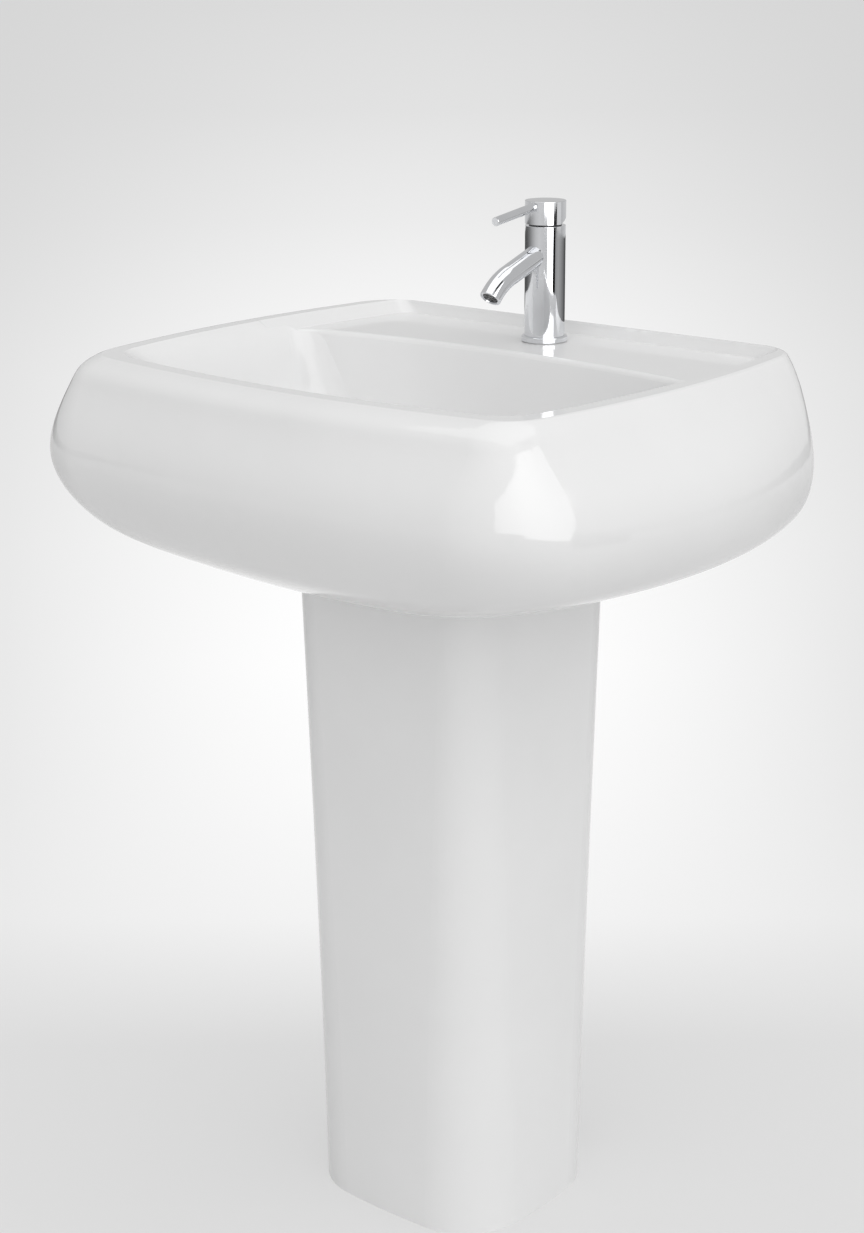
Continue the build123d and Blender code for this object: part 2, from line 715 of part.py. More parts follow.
with BuildPart() as trap_inlet_nut:
    with BuildSketch(Plane((0, waste_y, collar_base - 4))):
        Circle(25)
    extrude(amount=24)
    ribbed_nut(Plane((0, waste_y, collar_base - 2)), 24.6, 12)
    with BuildSketch(Plane((0, waste_y, collar_base))):
        Circle(barrel)
    extrude(amount=30, mode=Mode.SUBTRACT)
    with BuildSketch(Plane((0, waste_y, collar_base - 4))):
        Circle(tube_radius)
    extrude(amount=10, mode=Mode.SUBTRACT)
save(trap_inlet_nut, "trap_inlet_nut")

outlet_end = waste_y + 52.0  # end of the threaded outlet
with BuildPart() as trap_head:
    with BuildSketch(Plane((0, waste_y, head_base))):
        Circle(head_radius)
    extrude(amount=head_top - head_base)
    fillet(trap_head.edges().filter_by(GeomType.CIRCLE).group_by(Axis.Z)[-1], 8)
    with BuildSketch(Plane((0, waste_y, head_top - 4))):
        Circle(tube_radius)
    extrude(amount=washer_base - head_top + 4)
    with BuildSketch(Plane((0, waste_y, collar_base))):
        Circle(20.4)
    extrude(amount=washer_base - collar_base)
    with BuildSketch(Plane((0, waste_y, trap_outlet), x_dir=(1, 0, 0), z_dir=(0, 1, 0))):
        Circle(20.5)
    extrude(amount=outlet_end - waste_y)
    with BuildSketch(Plane((0, waste_y, head_base))):  # chamber round the dip tube
        Circle(head_radius - skin)
        Circle(16.0, mode=Mode.SUBTRACT)
    extrude(amount=head_top - head_base - 6, mode=Mode.SUBTRACT)
    with BuildSketch(Plane((0, waste_y, head_base))):
        Circle(16.0)
    extrude(amount=-30)
    with BuildSketch(Plane((0, waste_y, head_base - 30))):
        Circle(14.0)
    extrude(amount=washer_base - head_base + 30, mode=Mode.SUBTRACT)
    with BuildSketch(Plane((0, waste_y + 18, trap_outlet), x_dir=(1, 0, 0), z_dir=(0, 1, 0))):
        Circle(pipe)
    extrude(amount=outlet_end - waste_y - 18, mode=Mode.SUBTRACT)
save(trap_head, "trap_head")

with BuildPart() as trap_cup_seal:
    ring(Plane((0, waste_y, head_base - 2)), head_radius, head_radius - skin, 2)
save(trap_cup_seal, "trap_cup_seal")

with BuildPart() as trap_cup:
    with BuildSketch(Plane((0, waste_y, cup_base))):
        Circle(head_radius + skin)
    extrude(amount=head_base + 12 - cup_base)
    fillet(trap_cup.edges().filter_by(GeomType.CIRCLE).group_by(Axis.Z)[0], 9)
    with BuildSketch(Plane((0, waste_y, cup_base + skin))):
        Circle(head_radius - skin)
    extrude(amount=80, mode=Mode.SUBTRACT)
    with BuildSketch(Plane((0, waste_y, head_base - 2))):
        Circle(head_radius)
    extrude(amount=20, mode=Mode.SUBTRACT)
    with BuildSketch(Plane((0, waste_y, head_base - 10))):
        with PolarLocations(head_radius + skin, 12):
            Rectangle(3, 4)
    extrude(amount=20)
    with BuildSketch(Plane((0, waste_y, head_base - 2))):
        Circle(head_radius)
    extrude(amount=20, mode=Mode.SUBTRACT)
save(trap_cup, "trap_cup")

pipe_start = outlet_end - 24.0
pipe_bead = 1.2  # height of the rolled bead that stops the pipe at the nut
bead_start = outlet_end + 8.0
bead_width = 3.0
with BuildPart() as waste_pipe:
    ring(Plane((0, pipe_start, trap_outlet), x_dir=(1, 0, 0), z_dir=(0, 1, 0)), pipe, 14.0, wall_y - pipe_start)
    with BuildSketch(Plane((0, bead_start, trap_outlet), x_dir=(1, 0, 0), z_dir=(0, 1, 0))):
        Circle(pipe + pipe_bead)
        Circle(pipe, mode=Mode.SUBTRACT)
    extrude(amount=bead_width)
    fillet(waste_pipe.edges().filter_by(GeomType.CIRCLE).sort_by(SortBy.RADIUS)[-2:], 1.0)
save(waste_pipe, "waste_pipe")

with BuildPart() as trap_outlet_washer:
    ring(Plane((0, outlet_end, trap_outlet), x_dir=(1, 0, 0), z_dir=(0, 1, 0)), 20.4, pipe, 3)
save(trap_outlet_washer, "trap_outlet_washer")

with BuildPart() as trap_outlet_nut:
    with BuildSketch(Plane((0, outlet_end - 14, trap_outlet), x_dir=(1, 0, 0), z_dir=(0, 1, 0))):
        Circle(24.5)
    extrude(amount=21)
    ribbed_nut(Plane((0, outlet_end - 13.5, trap_outlet), x_dir=(1, 0, 0), z_dir=(0, 1, 0)), 24.2, 12)
    with BuildSketch(Plane((0, outlet_end - 14, trap_outlet), x_dir=(1, 0, 0), z_dir=(0, 1, 0))):
        Circle(20.5)
    extrude(amount=17, mode=Mode.SUBTRACT)
    with BuildSketch(Plane((0, outlet_end, trap_outlet), x_dir=(1, 0, 0), z_dir=(0, 1, 0))):
        Circle(pipe)
    extrude(amount=10, mode=Mode.SUBTRACT)
save(trap_outlet_nut, "trap_outlet_nut")
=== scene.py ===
"""Finish for a pedestal basin in white china, with its chrome mixer tap, click waste and bottle trap.

Metres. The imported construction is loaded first, and every piece below takes its place from it.
"""

import json
import math

import bmesh
import bpy
from bpy.props import FloatProperty, FloatVectorProperty, PointerProperty
from mathutils import Matrix, Vector


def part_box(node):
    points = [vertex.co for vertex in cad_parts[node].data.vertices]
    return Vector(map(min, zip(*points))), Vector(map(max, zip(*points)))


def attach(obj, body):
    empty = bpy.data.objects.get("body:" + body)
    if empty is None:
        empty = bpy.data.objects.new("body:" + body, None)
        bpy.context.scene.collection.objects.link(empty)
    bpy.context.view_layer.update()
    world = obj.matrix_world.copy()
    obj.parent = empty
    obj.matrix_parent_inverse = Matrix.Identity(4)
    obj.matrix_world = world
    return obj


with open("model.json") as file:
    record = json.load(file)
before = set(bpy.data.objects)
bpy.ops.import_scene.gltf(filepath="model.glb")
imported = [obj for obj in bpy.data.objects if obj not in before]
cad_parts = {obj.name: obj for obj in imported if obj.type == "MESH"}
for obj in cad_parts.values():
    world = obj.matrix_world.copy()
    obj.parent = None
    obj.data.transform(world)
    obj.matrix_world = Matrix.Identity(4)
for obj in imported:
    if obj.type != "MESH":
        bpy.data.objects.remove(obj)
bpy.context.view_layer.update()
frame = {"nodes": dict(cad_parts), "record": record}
WALL = next(mount["pos_m"][1] for mount in frame["record"]["mounts"] if mount["name"] == "wall_fixings")

bl_info = {
    "name": "Pedestal Basin",
    "version": (1, 0, 0),
    "blender": (4, 5, 0),
    "location": "3D View > Sidebar > Basin",
    "description": "China, metal, rubber and plastic finishes for a pedestal basin and its tap",
    "category": "Material",
}


# -------------------------------------------------------------------------------- properties


def colour_property(name, description, default):
    """A linear colour that the sidebar shows as a swatch."""
    return FloatVectorProperty(
        name=name, description=description, default=default, subtype="COLOR", size=3, min=0.0, max=1.0
    )


def length_property(name, description, default, largest=1.0):
    """A length in metres."""
    return FloatProperty(
        name=name,
        description=description,
        default=default,
        min=0.0,
        max=largest,
        subtype="DISTANCE",
        unit="LENGTH",
    )


def share_property(name, description, default):
    """A number from 0 to 1."""
    return FloatProperty(
        name=name, description=description, default=default, min=0.0, max=1.0, subtype="FACTOR"
    )


def strength_property(name, description, default):
    """The strength of a light."""
    return FloatProperty(name=name, description=description, default=default, min=0.0)


def angle_property(name, description, degrees):
    """An angle, given in degrees and kept in radians."""
    return FloatProperty(
        name=name, description=description, default=math.radians(degrees), subtype="ANGLE"
    )


class BasinChina(bpy.types.PropertyGroup):
    """Glaze of the basin and the column."""

    glaze: colour_property("Glaze", "Colour of the white glaze", (0.83, 0.83, 0.83))
    thin_glaze: colour_property("Thin glaze", "Colour of the glaze where it is thinner", (0.81, 0.81, 0.81))
    roughness: share_property("Roughness", "Roughness of the glaze", 0.07)
    ripple: length_property("Ripple", "Width of the slow waves in the glaze", 0.09)
    peel: length_property("Orange peel", "Width of the fine texture in the glaze", 0.006)


class BasinMetal(bpy.types.PropertyGroup):
    """Plated and bare metal."""

    chrome: colour_property("Chrome", "Colour of the chrome plate", (0.80, 0.81, 0.83))
    chrome_roughness: share_property("Chrome roughness", "Roughness of the polished plate", 0.05)
    brass: colour_property("Brass", "Colour of the bare brass", (0.62, 0.45, 0.20))
    dull_brass: colour_property("Dull brass", "Colour of the brass where it is dull", (0.45, 0.31, 0.14))
    brass_roughness: share_property("Brass roughness", "Roughness of the turned brass", 0.32)
    steel: colour_property("Steel", "Colour of the plain steel", (0.55, 0.56, 0.57))
    dull_steel: colour_property("Dull steel", "Colour of the steel where it is dull", (0.42, 0.42, 0.43))
    steel_roughness: share_property("Steel roughness", "Roughness of the plain steel", 0.28)
    # Painted shade: the ring under the lever's cap is made dark to stand for the shadow in the groove there,
    # and its second colour varies that dark at random.
    groove_shade: colour_property("Groove", "Colour of the ring under the lever's cap", (0.08, 0.08, 0.085))
    dull_groove_shade: colour_property("Dull groove", "Colour of that ring where it is dull", (0.05, 0.05, 0.05))
    waste_barrel: length_property("Waste barrel", "Radius of the waste's barrel", 0.0209)


class BasinPlastic(bpy.types.PropertyGroup):
    """Rubber and moulded plastic, each with a second shade that clouds it."""

    rubber: colour_property("Rubber", "Colour of the black seals", (0.025, 0.025, 0.026))
    grey_rubber: colour_property("Grey rubber", "Second shade of the black seals", (0.04, 0.04, 0.04))
    rubber_roughness: share_property("Rubber roughness", "Roughness of the black seals", 0.55)
    white: colour_property("White plastic", "Colour of the trap", (0.80, 0.80, 0.78))
    ivory: colour_property("Ivory plastic", "Second shade of the trap", (0.76, 0.76, 0.73))
    white_roughness: share_property("White roughness", "Roughness of the trap", 0.30)
    nylon: colour_property("Nylon", "Colour of the cartridge", (0.62, 0.62, 0.60))
    dull_nylon: colour_property("Dull nylon", "Second shade of the cartridge", (0.57, 0.57, 0.55))
    nylon_roughness: share_property("Nylon roughness", "Roughness of the cartridge", 0.45)
    aerator: colour_property("Aerator", "Colour of the aerator's insert", (0.12, 0.12, 0.12))
    dark_aerator: colour_property("Dark aerator", "Second shade of the insert", (0.09, 0.09, 0.09))
    silicone: colour_property("Silicone", "Colour of the grey seals", (0.5, 0.5, 0.5))
    dull_silicone: colour_property("Dull silicone", "Second shade of the grey seals", (0.46, 0.46, 0.46))
    silicone_roughness: share_property("Silicone roughness", "Roughness of the grey seals", 0.5)


class BasinStage(bpy.types.PropertyGroup):
    """Floor, light and camera."""

    floor_radius: length_property("Floor radius", "Radius of the floor", 60.0, 100.0)
    floor: colour_property("Floor", "Colour of the floor", (0.73, 0.73, 0.73))
    evenness: share_property("Evenness", "Share of the floor's tone that the lamps don't change", 0.60)
    even_light: strength_property("Even light", "Strength of the even light", 0.30)
    broad_light: strength_property("Broad lights", "Strength of the broad lights, 1 as usual", 1.0)
    softbox: strength_property("Softbox", "Strength of the softbox at its edges", 2.1)
    softbox_core: strength_property("Softbox core", "Strength added along its lamp", 1.3)
    camera_height: length_property("Camera height", "Floor to the camera", 1.23113, 5.0)
    camera_right: length_property("Camera right", "Plane of symmetry to the camera", 1.35165, 5.0)
    camera_back: length_property("Camera back", "Wall to the camera", 1.84426, 5.0)
    camera_heading: angle_property("Heading", "Camera's turn about the vertical", 40.02)
    camera_pitch: angle_property("Pitch", "Camera's tilt below level", 16.73)
    camera_roll: angle_property("Roll", "Camera's roll", 0.27)
    lens: FloatProperty(name="Lens", description="Focal length in millimetres", default=67.69, min=1.0)


# --------------------------------------------------------------------------------- materials


class Nodes:
    """A node tree, with short calls for adding and joining nodes."""

    def __init__(self, tree):
        self.tree = tree
        self.tree.nodes.clear()

    def node(self, kind, **values):
        node = self.tree.nodes.new(kind)
        for name, value in values.items():
            setattr(node, name, value)
        return node

    def feed(self, socket, value):
        """Give a socket another node's output, a number or a colour."""
        if hasattr(value, "is_linked"):
            self.tree.links.new(value, socket)
        else:
            socket.default_value = value


class Shader(Nodes):
    """The nodes of a surface's own finish."""

    def __init__(self, name):
        self.material = bpy.data.materials.new(name)
        self.material.use_nodes = True
        super().__init__(self.material.node_tree)
        self.surface = self.node("ShaderNodeBsdfPrincipled")
        output = self.node("ShaderNodeOutputMaterial")
        self.feed(output.inputs["Surface"], self.surface.outputs["BSDF"])

    def place(self):
        """Position on the piece, in metres."""
        return self.node("ShaderNodeTexCoord").outputs["Object"]

    def stretched(self, vector, scale):
        """A position whose axes are scaled."""
        node = self.node("ShaderNodeMapping")
        node.inputs["Scale"].default_value = scale
        self.feed(node.inputs["Vector"], vector)
        return node.outputs["Vector"]

    def noise(self, vector, width, detail=2.0, roughness=0.5):
        """Noise whose lumps are about width metres wide."""
        node = self.node("ShaderNodeTexNoise")
        node.inputs["Scale"].default_value = 1.0 / width
        node.inputs["Detail"].default_value = detail
        node.inputs["Roughness"].default_value = roughness
        self.feed(node.inputs["Vector"], vector)
        return node.outputs["Fac"]

    def spread(self, value, low, high, to_low=0.0, to_high=1.0):
        """A value whose range from low to high is stretched to another range."""
        node = self.node("ShaderNodeMapRange")
        node.inputs["From Min"].default_value = low
        node.inputs["From Max"].default_value = high
        node.inputs["To Min"].default_value = to_low
        node.inputs["To Max"].default_value = to_high
        self.feed(node.inputs["Value"], value)
        return node.outputs["Result"]

    def mixed(self, share, first, second):
        """Two colours, mixed by a share from 0 to 1."""
        node = self.node("ShaderNodeMix", data_type="RGBA")
        self.feed(node.inputs["Factor"], share)
        node.inputs["A"].default_value = (*first, 1.0)
        node.inputs["B"].default_value = (*second, 1.0)
        return node.outputs["Result"]

    def bump(self, height, distance, strength, under=None):
        node = self.node("ShaderNodeBump")
        node.inputs["Distance"].default_value = distance
        node.inputs["Strength"].default_value = strength
        self.feed(node.inputs["Height"], height)
        if under is not None:
            self.feed(node.inputs["Normal"], under)
        return node.outputs["Normal"]

    def finish(self, colour, roughness, normal):
        """Join the surface's colour, roughness and relief, and give its material."""
        self.feed(self.surface.inputs["Base Color"], colour)
        self.feed(self.surface.inputs["Roughness"], roughness)
        self.feed(self.surface.inputs["Normal"], normal)
        return self.material


CLOUD_SIZE = 1.7  # width of the glaze's thinner patches, in ripples
HAZE_TONE = 0.96  # tone of the hazy plate, as a share of the clear one's
ROUND_MARKS = (0.05, 0.05, 1.0)  # scale of the axes that draws noise out round the vertical


def china_glaze(china):
    """White glaze over fired clay: slow waves, faint orange peel and a cloudy change of thickness."""
    shader = Shader("china_glaze")
    shader.surface.inputs["IOR"].default_value = 1.52
    shader.surface.inputs["Specular IOR Level"].default_value = 0.5
    place = shader.place()
    cloud = shader.noise(place, width=CLOUD_SIZE * china.ripple, detail=3.0)
    swell = shader.noise(place, width=china.ripple, detail=1.0)
    waves = shader.bump(swell, distance=0.0006, strength=0.25)
    peel = shader.noise(place, width=china.peel)
    return shader.finish(
        shader.mixed(shader.spread(cloud, 0.35, 0.65), china.thin_glaze, china.glaze),
        shader.spread(cloud, 0.3, 0.7, china.roughness * 0.8, china.roughness * 1.2),
        shader.bump(peel, distance=0.00002, strength=0.15, under=waves),
    )


def polished_chrome(metal):
    """Bright plate with the faint haze that wiping leaves."""
    shader = Shader("polished_chrome")
    shader.surface.inputs["Metallic"].default_value = 1.0
    place = shader.place()
    haze = shader.noise(place, width=0.018, detail=4.0, roughness=0.6)
    swell = shader.noise(place, width=0.012)
    hazy_chrome = tuple(HAZE_TONE * part for part in metal.chrome)
    return shader.finish(
        shader.mixed(shader.spread(haze, 0.35, 0.7), metal.chrome, hazy_chrome),
        shader.spread(haze, 0.3, 0.75, metal.chrome_roughness * 0.7, metal.chrome_roughness * 1.5),
        shader.bump(swell, distance=0.00001, strength=0.2),
    )


def turned_metal(name, colour, dull_colour, roughness):
    """Bare metal with fine turning marks that run round the vertical."""
    shader = Shader(name)
    shader.surface.inputs["Metallic"].default_value = 1.0
    place = shader.place()
    rings = shader.noise(shader.stretched(place, ROUND_MARKS), width=0.0005, detail=3.0)
    dull = shader.noise(place, width=0.014, detail=4.0)
    return shader.finish(
        shader.mixed(shader.spread(dull, 0.4, 0.75), colour, dull_colour),
        shader.spread(rings, 0.3, 0.7, roughness * 0.75, roughness * 1.3),
        shader.bump(rings, distance=0.00003, strength=0.3),
    )


def moulded(name, colour, shade, roughness):
    """Moulded plastic or rubber with a fine grain."""
    shader = Shader(name)
    place = shader.place()
    cloud = shader.noise(place, width=0.03, detail=3.0)
    grain = shader.noise(place, width=0.0009, detail=3.0, roughness=0.6)
    return shader.finish(
        shader.mixed(shader.spread(cloud, 0.35, 0.7), colour, shade),
        shader.spread(grain, 0.3, 0.7, roughness * 0.85, min(1.0, roughness * 1.2)),
        shader.bump(grain, distance=0.00003, strength=0.5),
    )


def finish_nodes(names, material):
    """Assign one material to every slot of the named pieces."""
    for name in names:
        for slot in frame["nodes"][name].material_slots:
            slot.material = material


def nodes_of_slot(slot):
    """Names of the construction's pieces that the record gives one material slot."""
    return [part["node"] for part in frame["record"]["subparts"] if part["material_slot"] == slot]


# ------------------------------------------------------------------------- finishes and threads


class BASIN_OT_china(bpy.types.Operator):
    """Glaze the basin and the column."""

    bl_idname = "basin.china"
    bl_label = "Glaze China"

    def execute(self, context):
        finish_nodes(nodes_of_slot("china"), china_glaze(context.scene.basin_china))
        return {"FINISHED"}


class BASIN_OT_metal(bpy.types.Operator):
    """Plate the tap and the waste, finish the bare brass and steel, and darken the ring under the lever's
    cap as painted shade.
    """

    bl_idname = "basin.metal"
    bl_label = "Finish Metal"

    def execute(self, context):
        metal = context.scene.basin_metal
        finish_nodes(nodes_of_slot("chrome"), polished_chrome(metal))
        brass = turned_metal("bare_brass", metal.brass, metal.dull_brass, metal.brass_roughness)
        finish_nodes(nodes_of_slot("brass"), brass)
        # Painted shade: a dark plate on the ring under the lever's cap stands for the shadow in its groove.
        groove_shade = turned_metal("painted_shade_plate", metal.groove_shade, metal.dull_groove_shade, metal.steel_roughness)
        finish_nodes(["dome_ring"], groove_shade)
        steel = turned_metal("plain_steel", metal.steel, metal.dull_steel, metal.steel_roughness)
        finish_nodes(nodes_of_slot("steel"), steel)
        return {"FINISHED"}


def add_mesh(name, form):
    """An object in the scene, with the mesh of a finished bmesh."""
    mesh = bpy.data.meshes.new(name)
    form.to_mesh(mesh)
    form.free()
    piece = bpy.data.objects.new(name, mesh)
    bpy.context.scene.collection.objects.link(piece)
    return piece


THREAD_STEPS = 48  # facets in one turn of a thread
THREAD_RUN_OUT = THREAD_STEPS / 4  # steps over which its ridge rises at either end
THREAD_FOOT = 0.42  # half the width of the ridge's foot, as a share of the pitch
THREAD_ROOT = 0.0001  # depth of that foot inside the barrel
THREAD_TIP = 0.00002  # height of the ridge at its very ends

WASTE_PITCH = 0.0023
WASTE_DEPTH = 0.0008
STUD_PITCH = 0.00125
STUD_DEPTH = 0.0003
STUD_TIP = 0.0015  # plain length at the stud's lower end


def thread(name, centre, radius, low, high, pitch, depth, material):
    """The ridge of a screw thread round an upright barrel, run out at both ends."""
    steps = int((high - low) / pitch * THREAD_STEPS)
    foot = THREAD_FOOT * pitch
    root = radius - THREAD_ROOT
    form = bmesh.new()
    rows = []
    for step in range(steps + 1):
        turn = 2 * math.pi * step / THREAD_STEPS
        height = low + pitch * step / THREAD_STEPS
        crest = depth * min(1.0, step / THREAD_RUN_OUT, (steps - step) / THREAD_RUN_OUT) + THREAD_TIP
        section = ((root, height - foot), (radius + crest, height), (root, height + foot))
        rows.append([
            form.verts.new((centre.x + reach * math.cos(turn), centre.y + reach * math.sin(turn), level))
            for reach, level in section
        ])
    for row, after in zip(rows, rows[1:]):
        for corner in range(3):
            beyond = (corner + 1) % 3
            form.faces.new((row[corner], after[corner], after[beyond], row[beyond]))
    form.faces.new(reversed(rows[0]))
    form.faces.new(rows[-1])
    bmesh.ops.recalc_face_normals(form, faces=form.faces)
    piece = add_mesh(name, form)
    piece.data.materials.append(material)
    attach(piece, "fixed")


class BASIN_OT_threads(bpy.types.Operator):
    """Cut the threads of the waste's barrel and of the tap's fixing stud."""

    bl_idname = "basin.threads"
    bl_label = "Cut Threads"

    def execute(self, context):
        nut_low, nut_high = (Vector(corner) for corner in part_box("waste_back_nut"))
        thread(
            "waste_thread",
            centre=(nut_low + nut_high) / 2,
            radius=context.scene.basin_metal.waste_barrel,
            low=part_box("trap_inlet_nut")[1][2],
            high=nut_low.z,
            pitch=WASTE_PITCH,
            depth=WASTE_DEPTH,
            material=bpy.data.materials["polished_chrome"],
        )
        stud_low, stud_high = (Vector(corner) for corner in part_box("fixing_stud"))
        thread(
            "stud_thread",
            centre=(stud_low + stud_high) / 2,
            radius=(stud_high.x - stud_low.x) / 2,
            low=stud_low.z + STUD_TIP,
            high=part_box("stud_nut")[0][2],
            pitch=STUD_PITCH,
            depth=STUD_DEPTH,
            material=bpy.data.materials["bare_brass"],
        )
        return {"FINISHED"}


class BASIN_OT_plastic(bpy.types.Operator):
    """Finish the seals, the trap and the cartridge."""

    bl_idname = "basin.plastic"
    bl_label = "Finish Plastic"

    def execute(self, context):
        plastic = context.scene.basin_plastic
        black_rubber = moulded("black_rubber", plastic.rubber, plastic.grey_rubber, plastic.rubber_roughness)
        finish_nodes(nodes_of_slot("rubber"), black_rubber)
        white_plastic = moulded("white_plastic", plastic.white, plastic.ivory, plastic.white_roughness)
        finish_nodes(nodes_of_slot("white_plastic"), white_plastic)
        dark_nylon = moulded("dark_nylon", plastic.aerator, plastic.dark_aerator, plastic.nylon_roughness)
        finish_nodes(["aerator_insert"], dark_nylon)
        silicone = moulded(
            "grey_silicone", plastic.silicone, plastic.dull_silicone, plastic.silicone_roughness
        )
        finish_nodes(["tap_base_seal", "waste_top_seal"], silicone)
        pale_nylon = moulded("pale_nylon", plastic.nylon, plastic.dull_nylon, plastic.nylon_roughness)
        finish_nodes(nodes_of_slot("cartridge_plastic"), pale_nylon)
        return {"FINISHED"}


# ------------------------------------------------------------------------------ floor and lamps


class Light(Nodes):
    """The nodes of something that glows or that only some rays see."""

    def math(self, operation, first, second=0.0, third=0.0):
        node = self.node("ShaderNodeMath", operation=operation)
        for socket, value in zip(node.inputs, (first, second, third)):
            self.feed(socket, value)
        return node.outputs["Value"]

    def place(self, turn=0.0):
        """Position along and across the part's own level axes, turned about the vertical."""
        mapping = self.node("ShaderNodeMapping")
        mapping.inputs["Rotation"].default_value = (0.0, 0.0, turn)
        self.feed(mapping.inputs["Vector"], self.node("ShaderNodeTexCoord").outputs["Object"])
        parts = self.node("ShaderNodeSeparateXYZ")
        self.feed(parts.inputs["Vector"], mapping.outputs["Vector"])
        return parts.outputs["X"], parts.outputs["Y"]

    def tones(self, value, stops):
        """Grey tones along a value from 0 to 1, by pairs of place and tone."""
        ramp = self.node("ShaderNodeValToRGB")
        elements = ramp.color_ramp.elements
        while len(elements) < len(stops):
            elements.new(0.5)
        for element, (place, tone) in zip(elements, stops):
            element.position = place
            element.color = (tone, tone, tone, 1.0)
        self.feed(ramp.inputs["Fac"], value)
        return ramp.outputs["Color"]

    def seen(self):
        """1 for camera, glossy and transmission rays."""
        path = self.node("ShaderNodeLightPath")
        direct = self.math("MAXIMUM", path.outputs["Is Camera Ray"], path.outputs["Is Glossy Ray"])
        return self.math("MAXIMUM", direct, path.outputs["Is Transmission Ray"])

    def glow(self, strength):
        """White light of a given strength."""
        emission = self.node("ShaderNodeEmission")
        self.feed(emission.inputs["Strength"], strength)
        return emission.outputs["Emission"]

    def show(self, shader):
        """Make a shader the surface."""
        self.feed(self.node("ShaderNodeOutputMaterial").inputs["Surface"], shader)


def light_material(name):
    """An empty material and its nodes."""
    material = bpy.data.materials.new(name)
    material.use_nodes = True
    return material, Light(material.node_tree)


ROUND_STEPS = 96  # facets of the floor and of the horizon ring


def stage_mesh(name, fill):
    """A stage object whose mesh the given function fills."""
    form = bmesh.new()
    fill(form)
    piece = add_mesh(name, form)
    return piece


def card(name, fill):
    """A card that only glossy surfaces see, and that casts no shadow."""
    piece = stage_mesh(name, fill)
    piece.visible_camera = False
    piece.visible_diffuse = False
    piece.visible_shadow = False
    piece.visible_transmission = False
    return piece


# Painted light on the floor: how the tone of its glow changes with the distance past the camera's foot, in
# metres: the tone far to the sides, and what the painted pool of light adds on the middle line.
FLOOR_TONES = (
    (2.0, 0.74, 0.00),
    (2.4, 0.73, 0.02),
    (2.75, 0.66, 0.27),
    (3.2, 0.56, 0.42),
    (3.8, 0.53, 0.49),
    (4.6, 0.58, 0.43),
    (6.5, 0.62, 0.34),
    (10.0, 0.64, 0.20),
    (16.0, 0.65, 0.11),
    (36.0, 0.66, 0.06),
)
POOL_WIDTH = 0.446  # half the width of the pool of light at the camera's foot
POOL_SPREAD = 0.146  # growth of that width with distance
LIT_FLOOR = 0.67  # tone of the floor under the lamps alone


def floor_painted_light(stage):
    """Pale floor, whose lit and shaded tone is evened out for the camera and for reflections by a glow that
    paints a pool of light on it.
    """
    material, light = light_material("floor_painted_light")
    nearest, farthest = FLOOR_TONES[0][0], FLOOR_TONES[-1][0]
    camera_distance = -(camera_place(stage).xy @ heading_axis(stage).xy)
    side, ahead = light.place(-stage.camera_heading)
    distance = light.math("MAXIMUM", light.math("ADD", ahead, camera_distance), nearest)

    # The tones are spread along the logarithm of the distance.
    reach = math.log(farthest / nearest)
    log_distance = light.math("LOGARITHM", light.math("DIVIDE", distance, nearest), math.e)
    along = light.math("DIVIDE", log_distance, reach)
    places = [math.log(stop[0] / nearest) / reach for stop in FLOOR_TONES]
    edge = light.tones(along, [(place, stop[1]) for place, stop in zip(places, FLOOR_TONES)])
    painted_pool = light.tones(along, [(place, stop[2]) for place, stop in zip(places, FLOOR_TONES)])
    width = light.math("MULTIPLY_ADD", distance, POOL_SPREAD, POOL_WIDTH)
    spread = light.math("POWER", light.math("ABSOLUTE", light.math("DIVIDE", side, width)), 2.0)
    painted_pool_share = light.math("EXPONENT", light.math("MULTIPLY", spread, -1.0))
    # Painted pool of light: the glow is brightest on the middle line behind the basin and fades to the
    # sides.
    tone = light.math("MULTIPLY_ADD", painted_pool, painted_pool_share, edge)

    # The glow paints that tone, less the share that the lamps really light, and that share keeps the real
    # shadow.
    lit_share = (1.0 - stage.evenness) * LIT_FLOOR
    painted_glow = light.math("DIVIDE", light.math("SUBTRACT", tone, lit_share), stage.evenness)
    matt = light.node("ShaderNodeBsdfDiffuse")
    matt.inputs["Color"].default_value = (*stage.floor, 1.0)
    both = light.node("ShaderNodeMixShader")
    light.feed(both.inputs[0], light.math("MULTIPLY", light.seen(), stage.evenness))
    light.feed(both.inputs[1], matt.outputs["BSDF"])
    light.feed(both.inputs[2], light.glow(painted_glow))
    light.show(both.outputs["Shader"])
    return material


# The softbox stands upright to the right of the basin, in a plane that is given by a place on the
# floor and a direction along it, from the wall towards the front. Corners in that plane are given
# by their distance from the place and their height.
SOFTBOX_FOOT = Vector((1.537, 0.023))
SOFTBOX_RUN = Vector((-0.191, -0.981))
SOFTBOX_CORNERS = ((0.12, 0.60), (1.85, 0.62), (1.90, 1.81), (-0.85, 2.14))
SOFTBOX_LAMP = 0.73  # distance of its inner lamp from the place
LAMP_SPREAD = 0.80  # distance over which that lamp's light fades

# Black cards at the softbox's wall end, one low and one over it, which draw the dark lines on the
# column and the spout.
FLAG_CORNERS = {
    "flag": ((-0.60, 0.30), (0.09, 0.30), (0.0, 0.78), (-0.60, 0.78)),
    "high_flag": ((-0.60, 2.35), (0.15, 2.35), (0.15, 2.95), (-0.60, 2.95)),
}
FLAG_TONE = 0.004

# A second softbox hangs over the basin and draws the light bands on the spout and the lever.
OVERHEAD_CORNERS = ((-0.95, -0.90), (-0.95, 1.00), (1.25, 1.00), (1.25, -0.90))
OVERHEAD_HEIGHT = 2.6
OVERHEAD_TONE = 1.35

